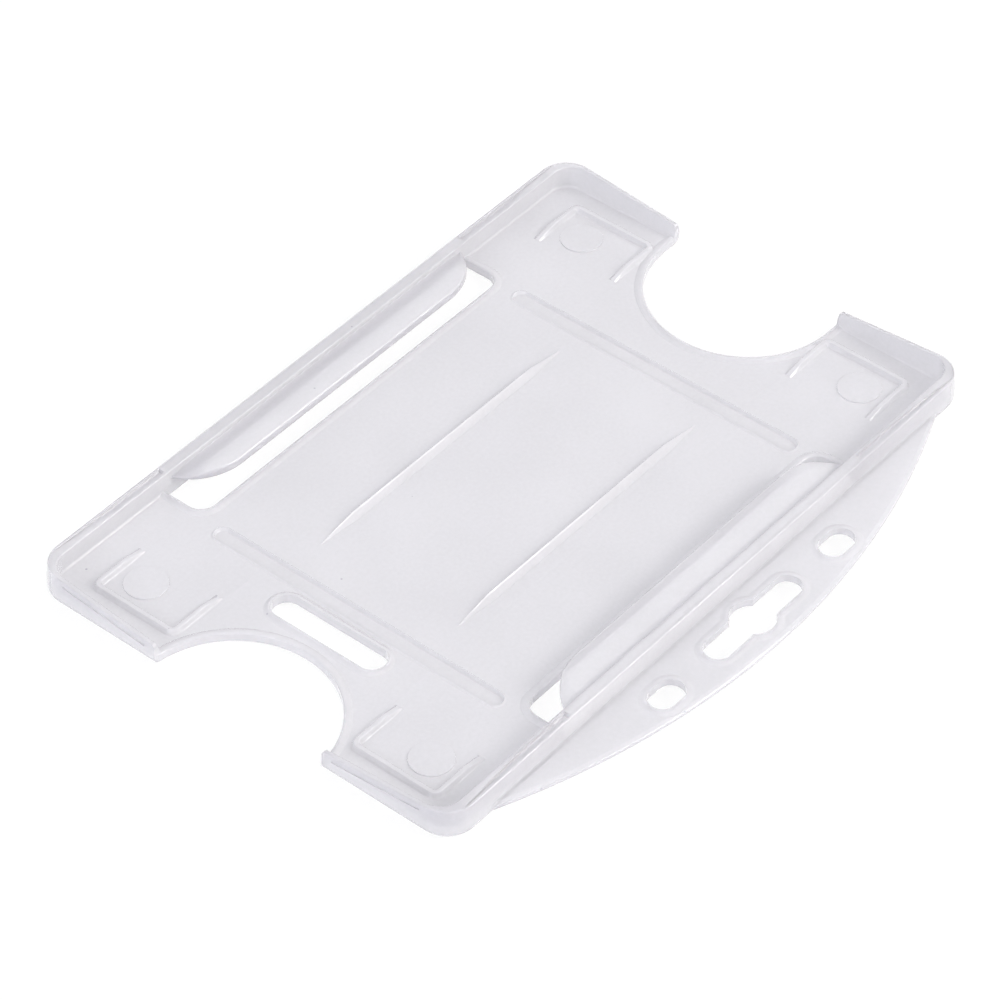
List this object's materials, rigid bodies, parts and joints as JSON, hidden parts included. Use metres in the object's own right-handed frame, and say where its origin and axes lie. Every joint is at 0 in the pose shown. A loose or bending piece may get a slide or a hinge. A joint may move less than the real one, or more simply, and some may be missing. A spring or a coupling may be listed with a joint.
{
  "type": "open-faced badge card holder",
  "caption": "Clear rigid open-faced card holder: a shallow tray with retaining lips, thumb notches at its ends, a strap slot and a slotted hanging tab on one long side.",
  "frame": {"origin": "on the underside, at the middle of the tray without its hanging tab", "axes": "+X along the long side of the card, away from the strap slot; +Z out of the open face; the hanging tab is on -Y"},
  "size_m": [0.0888, 0.066, 0.0039],
  "materials": {
    "clear_plastic": "injection-moulded clear plastic, faintly milky, glossy on the rims and satin on the floor"
  },
  "bodies": {
    "root": {"floor_middle": "clear_plastic", "floor_strap_end": "clear_plastic", "floor_open_end": "clear_plastic", "tab_side_wall": "clear_plastic", "far_side_wall": "clear_plastic", "corner_strap_tab": "clear_plastic", "corner_strap_far": "clear_plastic", "corner_open_tab": "clear_plastic", "corner_open_far": "clear_plastic", "end_wall_strap_tab": "clear_plastic", "end_wall_strap_far": "clear_plastic", "end_wall_open_tab": "clear_plastic", "end_wall_open_far": "clear_plastic", "tab_side_lip": "clear_plastic", "far_side_lip": "clear_plastic", "corner_rib_strap_tab": "clear_plastic", "corner_rib_strap_far": "clear_plastic", "corner_rib_open_tab": "clear_plastic", "corner_rib_open_far": "clear_plastic", "pad_strap_tab": "clear_plastic", "pad_strap_far": "clear_plastic", "pad_open_tab": "clear_plastic", "pad_open_far": "clear_plastic", "glide_rib_tab_side": "clear_plastic", "glide_rib_far_side": "clear_plastic", "window_edge_tab_side": "clear_plastic", "window_edge_far_side": "clear_plastic", "notch_edge_strap_end": "clear_plastic", "notch_edge_open_end": "clear_plastic", "strap_slot_collar": "clear_plastic", "hanging_tab": "clear_plastic", "tab_hole_border_strap_end": "clear_plastic", "tab_hole_border_open_end": "clear_plastic", "tab_slot_border": "clear_plastic"}
  },
  "joints": []
}
